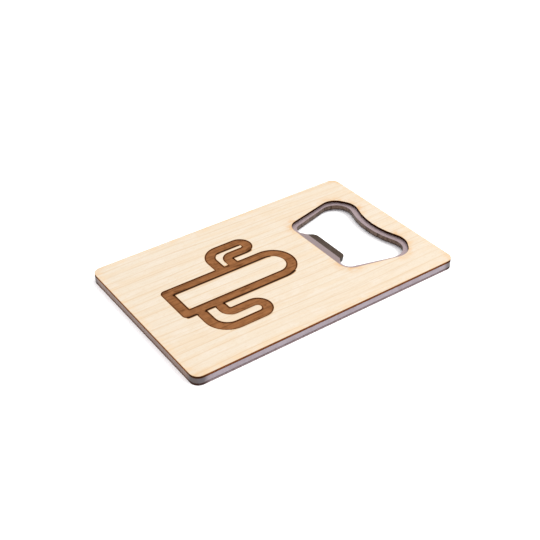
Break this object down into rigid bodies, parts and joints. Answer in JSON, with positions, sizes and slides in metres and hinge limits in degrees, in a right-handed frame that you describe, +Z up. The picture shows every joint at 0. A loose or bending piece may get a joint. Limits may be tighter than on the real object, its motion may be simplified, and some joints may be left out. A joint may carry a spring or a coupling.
{
  "type": "souvenir bottle opener",
  "caption": "Card-format bottle opener: stamped steel card with a bent lifting tooth in its hole, faced with engraved wood veneer.",
  "frame": {"origin": "centre of the card's underside, on the surface it lies on", "axes": "+X along the card's length towards the opener hole, +Y across the card, +Z up through the layers, out of the engraved face"},
  "size_m": [0.085, 0.054, 0.0029],
  "materials": {
    "steel_plate": "cold rolled stainless, satin, with deburred edges",
    "top_veneer": "pale maple, sanded and unvarnished, with burnt laser-cut edges and engraving",
    "bottom_veneer": "pale maple, sanded and unvarnished, with burnt laser-cut edges",
    "adhesive_film": "clear acrylic adhesive, slightly amber at its edge"
  },
  "bodies": {
    "root": {"steel_plate": "steel_plate", "top_veneer": "top_veneer", "bottom_veneer": "bottom_veneer", "top_adhesive_film": "adhesive_film", "bottom_adhesive_film": "adhesive_film"}
  },
  "joints": []
}
